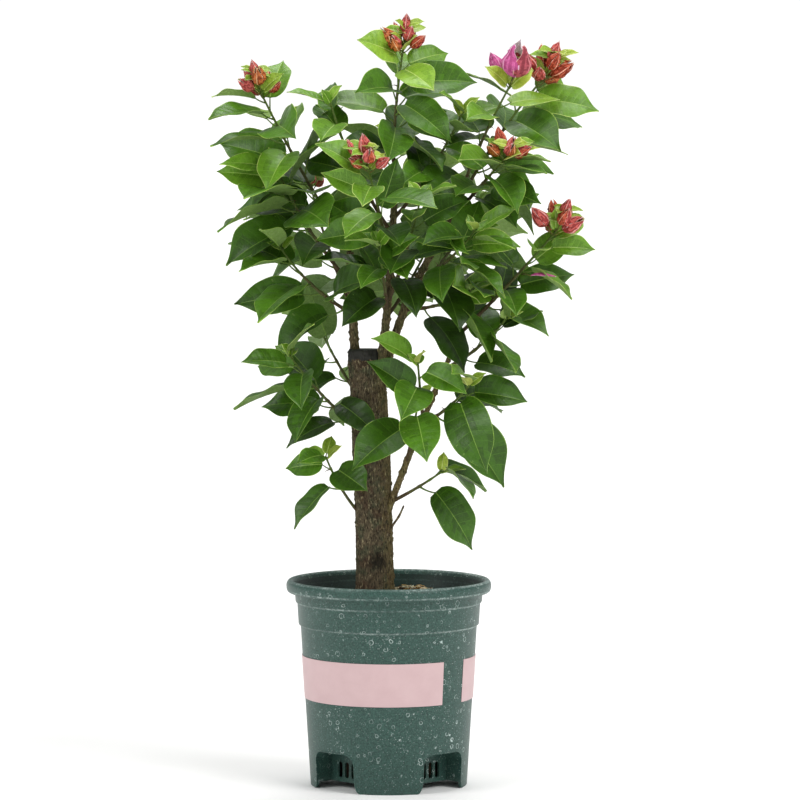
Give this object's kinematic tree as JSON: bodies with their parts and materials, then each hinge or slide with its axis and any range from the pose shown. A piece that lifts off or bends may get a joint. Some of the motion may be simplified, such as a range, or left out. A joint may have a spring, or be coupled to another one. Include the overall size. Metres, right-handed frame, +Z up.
{
  "type": "potted bougainvillea",
  "caption": "Potted bougainvillea trained as a small standard: a thick sawn-off stem, upright limbs and leafy shoots tipped with young coral bracts, in a round plastic nursery pot.",
  "frame": {"origin": "where the pot's axis meets the ground, in the middle of the pot's centre foot", "axes": "+Z up along the pot's axis, -Y towards the front of the plant, +X to the right as seen from the front"},
  "size_m": [0.3258, 0.2749, 0.6405],
  "materials": {
    "pot": "satin dark green, with pale dried-water marks",
    "label": "pale pink, bare",
    "soil": "coir and bark crumbs",
    "bark": "rough grey-brown bark",
    "foliage": "glossy green leaves with young coral bracts at the tips"
  },
  "bodies": {
    "root": {"pot": "pot", "label_front": "label", "label_back": "label", "soil": "soil", "trunk": "bark", "limb_left": "bark", "limb_middle": "bark", "limb_right": "bark", "branch_low": "bark", "twig_bare": "bark", "shoot_top": "foliage", "shoot_left_high": "foliage", "shoot_right_high": "foliage", "shoot_right_top": "foliage", "shoot_top_right": "foliage", "shoot_low_middle": "foliage", "shoot_right_middle": "foliage", "shoot_front": "foliage", "shoot_right_low": "foliage", "shoot_left_middle": "foliage", "shoot_left_low": "foliage", "shoot_top_left": "foliage", "shoot_centre_high": "foliage", "shoot_centre": "foliage", "shoot_front_right": "foliage", "shoot_inner_right": "foliage", "shoot_low_left": "foliage", "shoot_foot_left": "foliage", "shoot_low_right": "foliage", "shoot_low_front": "foliage", "shoot_foot_right": "foliage", "shoot_side_right": "foliage", "shoot_back_left": "foliage", "shoot_back_middle": "foliage", "shoot_back_right": "foliage", "shoot_back_low": "foliage", "shoot_back_centre": "foliage"}
  },
  "joints": []
}
